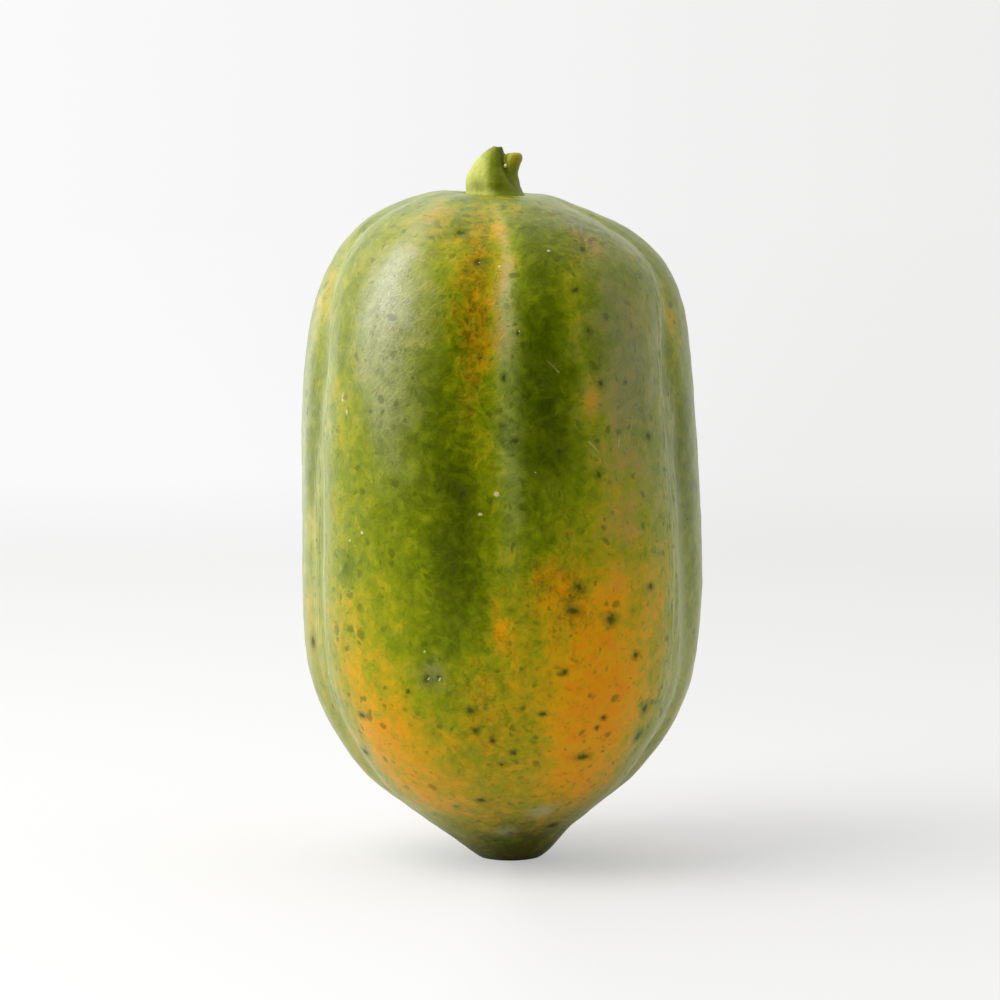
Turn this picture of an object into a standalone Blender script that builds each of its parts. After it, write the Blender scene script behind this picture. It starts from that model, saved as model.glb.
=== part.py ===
"""A ripening papaya that stands on the small flat spot at its blossom end.

Two solids: the five-lobed fruit, and the short cut stem in the hollow at its top.
Metres, +Z up, front towards -Y. The origin is the middle of the flat spot that the fruit rests on.
"""

import math

import bmesh
import bpy
from mathutils import Vector

MM = 0.001

# Driving sizes of the fruit.
FRUIT_HEIGHT = 198.5 * MM  # from the flat spot to the seat of the stem
FRUIT_RADIUS = 60.4 * MM  # at the fullest part of a lobe
ROWS_AROUND = 64
ROWS_ALONG = 52

# The outline up the crest of a lobe, from the rim of the flat spot to the rim of the stem's seat:
# shares of FRUIT_RADIUS and of FRUIT_HEIGHT. The flat spot and the seat are flat inside their rims.
OUTLINE = (
    (0.145, 0.000),
    (0.168, 0.004),
    (0.198, 0.011),
    (0.232, 0.020),
    (0.310, 0.041),
    (0.455, 0.074),
    (0.664, 0.122),
    (0.823, 0.182),
    (0.926, 0.243),
    (0.979, 0.303),
    (1.003, 0.393),
    (1.004, 0.500),
    (0.994, 0.635),
    (0.966, 0.756),
    (0.921, 0.848),
    (0.836, 0.910),
    (0.728, 0.947),
    (0.606, 0.971),
    (0.450, 0.991),
    (0.305, 1.0045),
    (0.228, 1.006),
    (0.168, 1.000),
)

# The five valleys between the lobes. A bearing is in degrees from the front, positive towards +X.
# Each valley has its bearing on the crown, its bearing and depth high up, and those low on the fruit.
VALLEYS = (
    (-145.0, -142.0, 3.2 * MM, -140.0, 2.0 * MM),
    (-82.0, -70.0, 3.6 * MM, -69.0, 2.2 * MM),
    (-2.0, -3.5, 3.0 * MM, -3.5, 0.4 * MM),
    (79.0, 66.0, 3.8 * MM, 73.0, 2.4 * MM),
    (145.0, 139.0, 3.2 * MM, 142.0, 1.8 * MM),
)
CROWN_FROM = 0.74  # shares of the height between which a valley turns to its bearing on the crown
CROWN_TO = 0.96
VALLEY_TURNS_FROM = 0.25  # share of the height where a valley has its low bearing and depth
VALLEY_TURNS_TO = 0.75  # and where it has its high ones
VALLEY_ROUNDING = 0.22  # 0 would be a sharp crease between lobes
TIP_SMOOTH_TO = 0.20  # below this share of the height the valleys fade out
SEAT_SMOOTH_FROM = 0.15  # towards the stem they fade out too, between these shares of the radius
SEAT_SMOOTH_TO = 0.92
SHOULDER_SLOPE = 0.050  # how steeply the crown tilts down towards one bearing
SLOPE_BEARING = 58.0

# How far the fruit's middle leans to the side (x, y) at some shares of its height.
LEAN = (
    (0.00, 0.0 * MM, 0.0),
    (0.06, -2.2 * MM, 0.0),
    (0.15, -2.5 * MM, 0.0),
    (0.45, -2.2 * MM, 0.0),
    (0.75, -3.7 * MM, 0.0),
    (0.93, -2.9 * MM, 0.0),
    (1.00, -5.2 * MM, 0.0),
)

# The stem: sections of a main stub and of a side knob, each with its height above the stem's foot,
# the offset (x, y) of its middle from the seat's middle, and its half width and half depth.
STEM_GAP = 0.3 * MM
STEM_SIDES = 24
MAIN_STUB = (
    (0.0 * MM, 0.9 * MM, 0.0 * MM, 8.7 * MM, 8.0 * MM),
    (1.8 * MM, 0.5 * MM, 0.0 * MM, 8.4 * MM, 7.7 * MM),
    (4.4 * MM, -0.1 * MM, 0.0 * MM, 8.0 * MM, 7.3 * MM),
    (6.6 * MM, -0.5 * MM, 0.1 * MM, 7.2 * MM, 6.7 * MM),
    (9.0 * MM, -0.9 * MM, 0.2 * MM, 5.5 * MM, 5.6 * MM),
    (11.4 * MM, -0.3 * MM, 0.2 * MM, 4.4 * MM, 4.4 * MM),
    (13.4 * MM, 0.4 * MM, 0.1 * MM, 3.1 * MM, 3.2 * MM),
    (14.6 * MM, 1.1 * MM, 0.0 * MM, 2.0 * MM, 2.2 * MM),
    (15.2 * MM, 1.5 * MM, 0.0 * MM, 1.2 * MM, 1.4 * MM),
)
SIDE_KNOB = (
    (1.0 * MM, 5.9 * MM, -0.4 * MM, 2.6 * MM, 3.2 * MM),
    (4.4 * MM, 5.1 * MM, -0.5 * MM, 3.0 * MM, 3.5 * MM),
    (7.1 * MM, 4.6 * MM, -0.6 * MM, 2.9 * MM, 3.3 * MM),
    (9.2 * MM, 5.2 * MM, -0.8 * MM, 2.9 * MM, 3.1 * MM),
    (11.2 * MM, 6.0 * MM, -0.9 * MM, 2.9 * MM, 2.9 * MM),
    (12.6 * MM, 6.3 * MM, -0.9 * MM, 2.6 * MM, 2.6 * MM),
    (13.3 * MM, 6.2 * MM, -0.9 * MM, 1.8 * MM, 1.8 * MM),
)

SKIN_COLOUR = (0.27, 0.30, 0.03, 1.0)
STEM_COLOUR = (0.30, 0.37, 0.08, 1.0)


def smooth_step(low, high, value):
    """0 below low, 1 above high, and a smooth rise between them."""
    share = min(1.0, max(0.0, (value - low) / (high - low)))
    return share * share * (3 - 2 * share)


def mixed(low, high, share):
    return low + (high - low) * share


def curve_through(points, steps):
    """Points along a smooth curve through the given ones: a Catmull-Rom spline."""
    ends = [points[0] * 2 - points[1], *points, points[-1] * 2 - points[-2]]
    made = []
    for before, start, end, after in zip(ends, ends[1:], ends[2:], ends[3:]):
        for step in range(steps):
            t = step / steps
            slope = (end - before) * t
            bend = (before * 2 - start * 5 + end * 4 - after) * t * t
            twist = (start * 3 - before - end * 3 + after) * t * t * t
            made.append((start * 2 + slope + bend + twist) / 2)
    made.append(points[-1].copy())
    return made


def evenly_spaced(path, count):
    """count + 1 points at equal steps along a path."""
    lengths = [0.0]
    for here, there in zip(path, path[1:]):
        lengths.append(lengths[-1] + (there - here).length)
    made = []
    segment = 0
    for step in range(count + 1):
        target = lengths[-1] * step / count
        while segment < len(path) - 2 and lengths[segment + 1] < target:
            segment += 1
        run = lengths[segment + 1] - lengths[segment]
        made.append(path[segment].lerp(path[segment + 1], (target - lengths[segment]) / run))
    return made


def outline_rows():
    """The fruit's outline as evenly spaced (radius, height) rows, each with its outward normal."""
    points = [Vector((r * FRUIT_RADIUS, h * FRUIT_HEIGHT)) for r, h in OUTLINE]
    rows = [Vector((0, 0)), *evenly_spaced(curve_through(points, 12), ROWS_ALONG - 2)]
    rows.append(Vector((0, FRUIT_HEIGHT)))
    normals = []
    for index in range(len(rows)):
        along = rows[min(index + 1, ROWS_ALONG)] - rows[max(index - 1, 0)]
        normals.append(Vector((along.y, -along.x)).normalized())
    return list(zip(rows, normals))


def lean_at(height):
    """The sideways offset of the fruit's middle at a share of its height."""
    for (low, x0, y0), (high, x1, y1) in zip(LEAN, LEAN[1:]):
        if height <= high or high == LEAN[-1][0]:
            share = smooth_step(low, high, height)
            return mixed(x0, x1, share), mixed(y0, y1, share)


def valley_depth(bearing, height):
    """How deep the surface lies below the lobes' crests, at a bearing and a share of the height."""
    rise = smooth_step(VALLEY_TURNS_FROM, VALLEY_TURNS_TO, height)
    crown = smooth_step(CROWN_FROM, CROWN_TO, height)
    bearings = [mixed(low, top, rise) + (up - top) * crown for up, top, _, low, _ in VALLEYS]
    depths = [mixed(low, top, rise) for _, _, top, _, low in VALLEYS]
    bearings.append(bearings[0] + 360)
    depths.append(depths[0])
    while bearing < bearings[0]:
        bearing += 360
    while bearing > bearings[-1]:
        bearing -= 360
    side = max(i for i in range(len(VALLEYS)) if bearings[i] <= bearing)
    across = (bearing - bearings[side]) / (bearings[side + 1] - bearings[side])
    swell = math.hypot(math.sin(math.pi * across), VALLEY_ROUNDING) - VALLEY_ROUNDING
    swell /= math.hypot(1, VALLEY_ROUNDING) - VALLEY_ROUNDING
    return mixed(depths[side], depths[side + 1], smooth_step(0, 1, across)) * (1 - swell)


def fruit_point(row, normal, bearing):
    """Where the skin lies on one outline row, at a bearing in degrees."""
    height = row.y / FRUIT_HEIGHT
    fade = smooth_step(0.02, TIP_SMOOTH_TO, height)
    if height > 0.6:
        fade *= smooth_step(SEAT_SMOOTH_FROM, SEAT_SMOOTH_TO, row.x / FRUIT_RADIUS)
    at = row - normal * valley_depth(bearing, height) * fade
    x, y = lean_at(height)
    turn = math.radians(bearing)
    tilt = SHOULDER_SLOPE * math.cos(turn - math.radians(SLOPE_BEARING))
    drop = tilt * at.x * smooth_step(0.75, 0.95, height)
    if height > 0.9:
        drop *= smooth_step(0.17, 0.25, row.x / FRUIT_RADIUS)
    return Vector((x + at.x * math.sin(turn), y - at.x * math.cos(turn), at.y - drop))


def new_object(name, mesh, material):
    """Puts a mesh in the papaya's collection as a named object, shaded smooth."""
    mesh.materials.append(material)
    mesh.shade_smooth()
    mesh.set_sharp_from_angle(angle=math.radians(50))
    made = bpy.data.objects.new(name, mesh)
    bpy.data.collections["papaya"].objects.link(made)
    return made


def new_material(name, colour, roughness):
    made = bpy.data.materials.new(name)
    made.use_nodes = True
    shader = made.node_tree.nodes["Principled BSDF"]
    shader.inputs["Base Color"].default_value = colour
    shader.inputs["Roughness"].default_value = roughness
    shader.inputs["Metallic"].default_value = 0.0
    return made


def make_fruit(material):
    """The lobed fruit: a UV sphere drawn out to the outline, row by row."""
    shape = bmesh.new()
    bmesh.ops.create_uvsphere(shape, u_segments=ROWS_AROUND, v_segments=ROWS_ALONG, radius=1)
    rows = outline_rows()
    for vertex in shape.verts:
        row = round(math.acos(max(-1.0, min(1.0, -vertex.co.z))) / math.pi * ROWS_ALONG)
        bearing = math.degrees(math.atan2(vertex.co.x, -vertex.co.y))
        vertex.co = fruit_point(*rows[row], bearing)
    bmesh.ops.recalc_face_normals(shape, faces=shape.faces)
    mesh = bpy.data.meshes.new("fruit")
    shape.to_mesh(mesh)
    shape.free()
    return new_object("fruit", mesh, material)


def stacked(name, sections):
    """A closed stub that passes through the given sections: a cylinder cut into rows and reshaped."""
    shape = bmesh.new()
    bmesh.ops.create_cone(
        shape, cap_ends=True, segments=STEM_SIDES, radius1=1, radius2=1, depth=len(sections) - 1
    )
    for row in range(1, len(sections) - 1):
        everything = shape.verts[:] + shape.edges[:] + shape.faces[:]
        level = (0, 0, row - (len(sections) - 1) / 2)
        bmesh.ops.bisect_plane(shape, geom=everything, plane_co=level, plane_no=(0, 0, 1))
    for vertex in shape.verts:
        height, x, y, half_width, half_depth = sections[round(vertex.co.z + (len(sections) - 1) / 2)]
        vertex.co = (x + vertex.co.x * half_width, y + vertex.co.y * half_depth, height)
    bmesh.ops.recalc_face_normals(shape, faces=shape.faces)
    mesh = bpy.data.meshes.new(name)
    shape.to_mesh(mesh)
    shape.free()
    return mesh


def make_stem(material):
    """The cut stem: a main stub and a side knob, joined, standing just above the fruit's seat."""
    seat_x, seat_y = lean_at(1.0)
    place = Vector((seat_x, seat_y, FRUIT_HEIGHT + STEM_GAP))
    stem = new_object("stem", stacked("stem", MAIN_STUB), material)
    stem.location = place
    knob = new_object("side_knob", stacked("side_knob", SIDE_KNOB), material)
    knob.location = place
    knob.hide_render = True
    knob.display_type = "WIRE"
    bpy.data.collections["papaya"].objects.unlink(knob)
    bpy.data.collections["joining shapes"].objects.link(knob)
    union = stem.modifiers.new("side knob", "BOOLEAN")
    union.operation = "UNION"
    union.solver = "EXACT"
    union.object = knob
    return stem


def main():
    for old in list(bpy.data.objects):
        bpy.data.objects.remove(old)
    for name in ("papaya", "joining shapes"):
        bpy.context.scene.collection.children.link(bpy.data.collections.new(name))
    make_fruit(new_material("papaya skin", SKIN_COLOUR, 0.42))
    make_stem(new_material("papaya stem", STEM_COLOUR, 0.5))


if __name__ == "__main__":
    main()
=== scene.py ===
"""The look of a whole ripening papaya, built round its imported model.

The fruit stands on the small flat spot at its blossom end, with a short cut stem on top. Lengths are in
metres unless a name or comment says millimetres. A bearing is in degrees round the fruit, seen from
above: 0 is the front (-Y), positive towards +X. A height is in millimetres above the flat spot.
"""

import logging
import math
from dataclasses import dataclass, field
from enum import Enum
from typing import Iterable, Union

import bmesh
import bpy
import numpy as np
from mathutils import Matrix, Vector, noise


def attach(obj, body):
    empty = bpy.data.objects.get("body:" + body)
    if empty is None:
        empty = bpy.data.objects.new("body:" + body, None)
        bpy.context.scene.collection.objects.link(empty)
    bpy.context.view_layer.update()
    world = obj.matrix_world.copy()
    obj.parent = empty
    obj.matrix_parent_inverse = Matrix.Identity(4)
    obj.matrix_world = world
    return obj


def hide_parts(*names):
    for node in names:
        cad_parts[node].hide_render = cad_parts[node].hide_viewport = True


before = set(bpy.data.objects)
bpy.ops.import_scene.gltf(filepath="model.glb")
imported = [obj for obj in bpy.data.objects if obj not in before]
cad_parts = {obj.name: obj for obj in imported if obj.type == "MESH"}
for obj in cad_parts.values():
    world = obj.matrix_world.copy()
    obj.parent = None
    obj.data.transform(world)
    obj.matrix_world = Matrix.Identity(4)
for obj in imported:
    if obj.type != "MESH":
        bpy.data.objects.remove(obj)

MM = 0.001
log = logging.getLogger("papaya")
Colour = tuple[float, float, float, float]
Feed = Union[bpy.types.NodeSocket, float, tuple, Vector]


# ------------------------------------------------------------------------------------- small tools


def tint(red: int, green: int, blue: int) -> Colour:
    """A colour from everyday 0 to 255 steps.

    Args:
        red: The red step.
        green: The green step.
        blue: The blue step.

    Returns:
        The same colour in scene-linear values, opaque.
    """
    steps = (step / 255 for step in (red, green, blue))
    linear = (s / 12.92 if s <= 0.04045 else ((s + 0.055) / 1.055) ** 2.4 for s in steps)
    return (*linear, 1.0)


def smooth_rise(low: float, high: float, value: np.ndarray) -> np.ndarray:
    """0 below low, 1 above high, and a smooth rise between them.

    Args:
        low: Where the rise starts.
        high: Where it ends.
        value: The values to read it at.

    Returns:
        One share from 0 to 1 for each value.
    """
    share = np.clip((np.asarray(value, dtype=float) - low) / (high - low), 0.0, 1.0)
    return share * share * (3 - 2 * share)


def cloud(points: np.ndarray, size: float, octaves: int = 3, shift: float = 0.0) -> np.ndarray:
    """Smooth random values over a set of points, near -1 to 1.

    Args:
        points: Places in metres, one row each.
        size: How wide one lump of the pattern is, in metres.
        octaves: How many finer layers are added.
        shift: Moves the pattern, so that two clouds of one size differ.

    Returns:
        One value for each point.
    """
    moved = Vector((shift, -shift, shift))
    gain, step = 0.9, 2.1  # how much weaker and how much finer each further layer is
    return np.array([noise.fractal(Vector(point) / size + moved, gain, step, octaves) for point in points])


def store_mask(mesh: bpy.types.Mesh, name: str, values: np.ndarray) -> None:
    """Keeps one number for each vertex as a named attribute that a material can read.

    Args:
        mesh: The mesh.
        name: The attribute's name.
        values: One number for each vertex.
    """
    layer = mesh.attributes.new(name=name, type="FLOAT", domain="POINT")
    layer.data.foreach_set("value", np.asarray(values, dtype=np.float32))


def vertex_vectors(mesh: bpy.types.Mesh, which: str = "co") -> np.ndarray:
    """Reads one vector for each vertex.

    Args:
        mesh: The mesh.
        which: Either co, for the places, or normal.

    Returns:
        The vectors, one row each.
    """
    vectors = np.empty(len(mesh.vertices) * 3, dtype=np.float32)
    mesh.vertices.foreach_get(which, vectors)
    return vectors.reshape(-1, 3).astype(float)


def move_vertices(mesh: bpy.types.Mesh, places: np.ndarray) -> None:
    """Puts every vertex of a mesh at its own row of places."""
    mesh.vertices.foreach_set("co", places.astype(np.float32).ravel())
    mesh.update()


def finished_mesh(name: str, shape: bmesh.types.BMesh) -> bpy.types.Mesh:
    """Turns an edited shape into a mesh, and lets the shape go.

    Args:
        name: The mesh's name.
        shape: The shape, which can't be used again.

    Returns:
        The mesh.
    """
    mesh = bpy.data.meshes.new(name)
    shape.to_mesh(mesh)
    shape.free()
    return mesh


def add_object(name: str, content: bpy.types.ID) -> bpy.types.Object:
    """Links a new object to the scene.

    Args:
        name: The object's name.
        content: Its mesh, light or camera.

    Returns:
        The object, at the origin.
    """
    made = bpy.data.objects.new(name, content)
    bpy.context.scene.collection.objects.link(made)
    return made


def add_piece(name: str, mesh: bpy.types.Mesh, material: bpy.types.Material) -> bpy.types.Object:
    """Links a finished mesh as a piece of the papaya that rides on its only body.

    Args:
        name: The piece's name.
        mesh: Its mesh, already in place.
        material: Its finish.

    Returns:
        The new object.
    """
    mesh.materials.clear()
    mesh.materials.append(material)
    mesh.shade_smooth()
    piece = add_object(name, mesh)
    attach(piece, "root")
    return piece


# ----------------------------------------------------------------------------------- node building


class Wiring:
    """Adds nodes to one node tree and wires them as it goes."""

    def __init__(self, tree: bpy.types.NodeTree) -> None:
        """Starts on a tree, which keeps what it already has."""
        self.tree = tree

    def add(self, kind: str, **settings: object) -> bpy.types.Node:
        """Adds a node.

        Args:
            kind: The node's type, without its ShaderNode prefix.
            **settings: Its properties.

        Returns:
            The new node.
        """
        node = self.tree.nodes.new("ShaderNode" + kind)
        for name, value in settings.items():
            setattr(node, name, value)
        return node

    def feed(self, socket: bpy.types.NodeSocket, value: Feed) -> None:
        """Links a socket's value into another, or sets a plain value on it.

        Args:
            socket: The socket that takes it.
            value: The other socket, or the plain value.
        """
        if isinstance(value, bpy.types.NodeSocket):
            self.tree.links.new(value, socket)
        else:
            socket.default_value = value

    def math(
        self, operation: str, first: Feed, second: Feed = 0.0, clamp: bool = False
    ) -> bpy.types.NodeSocket:
        """One step of arithmetic.

        Args:
            operation: The Math node's operation.
            first: Its first value.
            second: Its second value.
            clamp: Whether the result is held between 0 and 1.

        Returns:
            The result's socket.
        """
        node = self.add("Math", operation=operation, use_clamp=clamp)
        self.feed(node.inputs[0], first)
        self.feed(node.inputs[1], second)
        return node.outputs[0]

    def plus(self, first: Feed, second: Feed, clamp: bool = False) -> bpy.types.NodeSocket:
        """The sum of two values, held between 0 and 1 if asked."""
        return self.math("ADD", first, second, clamp)

    def times(self, first: Feed, second: Feed, clamp: bool = False) -> bpy.types.NodeSocket:
        """The product of two values, held between 0 and 1 if asked."""
        return self.math("MULTIPLY", first, second, clamp)

    def rest(self, share: Feed) -> bpy.types.NodeSocket:
        """What a share leaves of 1."""
        return self.math("SUBTRACT", 1.0, share)

    def centred(self, pattern: Feed) -> bpy.types.NodeSocket:
        """A pattern from 0 to 1, moved to lie round 0."""
        return self.math("SUBTRACT", pattern, 0.5)

    def vector(self, operation: str, first: Feed, second: Feed) -> bpy.types.NodeSocket:
        """One step of vector arithmetic.

        Args:
            operation: The Vector Math node's operation.
            first: Its first vector.
            second: Its second vector.

        Returns:
            The socket of the result, which is a number for products, distances and lengths.
        """
        node = self.add("VectorMath", operation=operation)
        self.feed(node.inputs[0], first)
        self.feed(node.inputs[1], second)
        return node.outputs["Value" if operation in ("DOT_PRODUCT", "DISTANCE", "LENGTH") else "Vector"]

    def rise(self, value: Feed, low: Feed, high: Feed) -> bpy.types.NodeSocket:
        """A smooth rise.

        Args:
            value: What it is read from.
            low: The value at which the rise starts from 0.
            high: The value at which it reaches 1.

        Returns:
            The share's socket.
        """
        node = self.add("MapRange", interpolation_type="SMOOTHSTEP")
        for socket, fed in zip(node.inputs, (value, low, high, 0.0, 1.0)):
            self.feed(socket, fed)
        return node.outputs[0]

    def blend(self, share: Feed, low: Feed, high: Feed) -> bpy.types.NodeSocket:
        """A colour part of the way between two others.

        Args:
            share: How far along it lies, from 0 to 1.
            low: The colour at 0.
            high: The colour at 1.

        Returns:
            The colour's socket.
        """
        node = self.add("Mix", data_type="RGBA", clamp_factor=True)
        for index, fed in ((0, share), (6, low), (7, high)):
            self.feed(node.inputs[index], fed)
        return node.outputs[2]

    def stretch(self, place: Feed, scale: tuple, turn: tuple = (0.0, 0.0, 0.0)) -> bpy.types.NodeSocket:
        """Coordinates turned and then scaled along each axis.

        Args:
            place: The coordinates.
            scale: The factor along each axis.
            turn: The turn about each axis, in degrees.

        Returns:
            The new coordinates' socket.
        """
        node = self.add("Mapping", vector_type="POINT")
        turned = self.add("VectorRotate", rotation_type="EULER_XYZ")
        turned.inputs["Rotation"].default_value = tuple(math.radians(angle) for angle in turn)
        self.feed(turned.inputs["Vector"], place)
        self.feed(node.inputs["Vector"], turned.outputs[0])
        node.inputs["Scale"].default_value = scale
        return node.outputs[0]

    def speckle(
        self, place: Feed, size: Feed, detail: float = 3.0, rough: float = 0.55
    ) -> bpy.types.NodeSocket:
        """A random pattern from 0 to 1.

        Args:
            place: Coordinates in metres.
            size: How wide one lump is, in millimetres.
            detail: How many finer layers it has.
            rough: How strong the finer layers are.

        Returns:
            The pattern's socket.
        """
        node = self.add("TexNoise", noise_dimensions="3D")
        self.feed(node.inputs["Vector"], place)
        scale = 1000.0 / size if isinstance(size, (int, float)) else self.math("DIVIDE", 1000.0, size)
        self.feed(node.inputs["Scale"], scale)
        node.inputs["Detail"].default_value = detail
        node.inputs["Roughness"].default_value = rough
        return node.outputs[0]

    def shifted(self, place: Feed, distance: float) -> bpy.types.NodeSocket:
        """Coordinates moved by the same distance along each axis."""
        return self.vector("ADD", place, (distance,) * 3)

    def bent(self, place: Feed, size: float, reach: float) -> bpy.types.NodeSocket:
        """Coordinates pushed about at random, so that a pattern read there is less even.

        Args:
            place: Coordinates in metres.
            size: How wide one push is, in millimetres.
            reach: How far apart the pushes can move two places, in millimetres.

        Returns:
            The pushed coordinates.
        """
        push = self.add("TexNoise", noise_dimensions="3D")
        self.feed(push.inputs["Vector"], place)
        push.inputs["Scale"].default_value = 1000.0 / size
        moved = self.add("VectorMath", operation="MULTIPLY_ADD")
        self.feed(moved.inputs[0], push.outputs["Color"])
        moved.inputs[1].default_value = (reach * MM,) * 3
        self.feed(moved.inputs[2], self.shifted(place, -0.5 * reach * MM))
        return moved.outputs[0]

    def length(self, vector: Feed) -> bpy.types.NodeSocket:
        """How long a vector is."""
        return self.vector("LENGTH", vector, (0.0, 0.0, 0.0))

    def mask(self, name: str) -> bpy.types.NodeSocket:
        """The socket of a per-vertex mask."""
        return self.add("Attribute", attribute_name=name).outputs["Fac"]

    def place(self) -> bpy.types.NodeSocket:
        """The piece's own coordinates, in metres."""
        return self.add("TexCoord").outputs["Object"]

    def bump(self, shader: bpy.types.Node, height: Feed, depth: float) -> None:
        """Feeds a bump to a shader's normal.

        Args:
            shader: The shader.
            height: The bump's height, as a share of its depth.
            depth: The depth, in metres.
        """
        node = self.add("Bump")
        node.inputs["Strength"].default_value = 1.0
        node.inputs["Distance"].default_value = depth
        self.feed(node.inputs["Height"], height)
        self.feed(shader.inputs["Normal"], node.outputs["Normal"])

    def group(self, tree: bpy.types.NodeTree, **fed: Feed) -> bpy.types.Node:
        """Puts a node group in and feeds its inputs.

        Args:
            tree: The group.
            **fed: Values by input name, with _ for a space.

        Returns:
            The group's node.
        """
        node = self.add("Group", node_tree=tree)
        for name, value in fed.items():
            self.feed(node.inputs[name.replace("_", " ")], value)
        return node


def new_group(
    name: str, inputs: dict[str, str], outputs: Iterable[str]
) -> tuple[Wiring, bpy.types.Node, bpy.types.Node]:
    """Starts an empty shader node group.

    Args:
        name: The group's name.
        inputs: Socket kind (Float or Vector) by input name.
        outputs: The names of its number outputs.

    Returns:
        Its wiring, its input node and its output node.
    """
    tree = bpy.data.node_groups.new(name, "ShaderNodeTree")
    for label, kind in inputs.items():
        tree.interface.new_socket(name=label, in_out="INPUT", socket_type="NodeSocket" + kind)
    for label in outputs:
        tree.interface.new_socket(name=label, in_out="OUTPUT", socket_type="NodeSocketFloat")
    return Wiring(tree), tree.nodes.new("NodeGroupInput"), tree.nodes.new("NodeGroupOutput")


def new_finish(name: str) -> tuple[bpy.types.Material, Wiring, bpy.types.Node]:
    """Starts a material.

    Args:
        name: The material's name.

    Returns:
        The material, its wiring and its Principled BSDF.
    """
    material = bpy.data.materials.new(name)
    material.use_nodes = True
    return material, Wiring(material.node_tree), material.node_tree.nodes["Principled BSDF"]


# ---------------------------------------------------------------------------------- the fruit's form


@dataclass(frozen=True)
class Valley:
    """A furrow between two lobes. Depths are in millimetres below the lobes' crests."""

    crown_bearing: float
    top_bearing: float
    top_depth: float
    low_bearing: float
    low_depth: float
    crease: float


@dataclass(frozen=True)
class Fold:
    """A thin raised fold that runs up a valley. Its path is in bearings and heights."""

    path: tuple
    crest: float  # mm
    half_width: float  # degrees
    highlight_paint: float  # how strongly a painted highlight lies along it, from 0 to 1
    low_fade: float = 34.0  # mm over which it fades in at its low end
    top_fade: float = 14.0  # mm over which it fades out at its top

    def nearness(self, bearing: np.ndarray, height: np.ndarray, half_width: float) -> np.ndarray:
        """How near the fold's middle points lie: 1 on it, and 0 well to its side or past its ends.

        Args:
            bearing: Bearings in degrees.
            height: Heights in millimetres.
            half_width: How far the nearness spreads to each side, in degrees.

        Returns:
            One share from 0 to 1 for each point.
        """
        middle = np.interp(height, [at for _, at in self.path], [turn for turn, _ in self.path])
        low, high = self.path[0][1], self.path[-1][1]
        begun = smooth_rise(low, low + self.low_fade, height)
        ended = smooth_rise(high - self.top_fade, high, height)
        return begun * (1 - ended) * np.exp(-(((bearing - middle) / half_width) ** 2))


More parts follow.
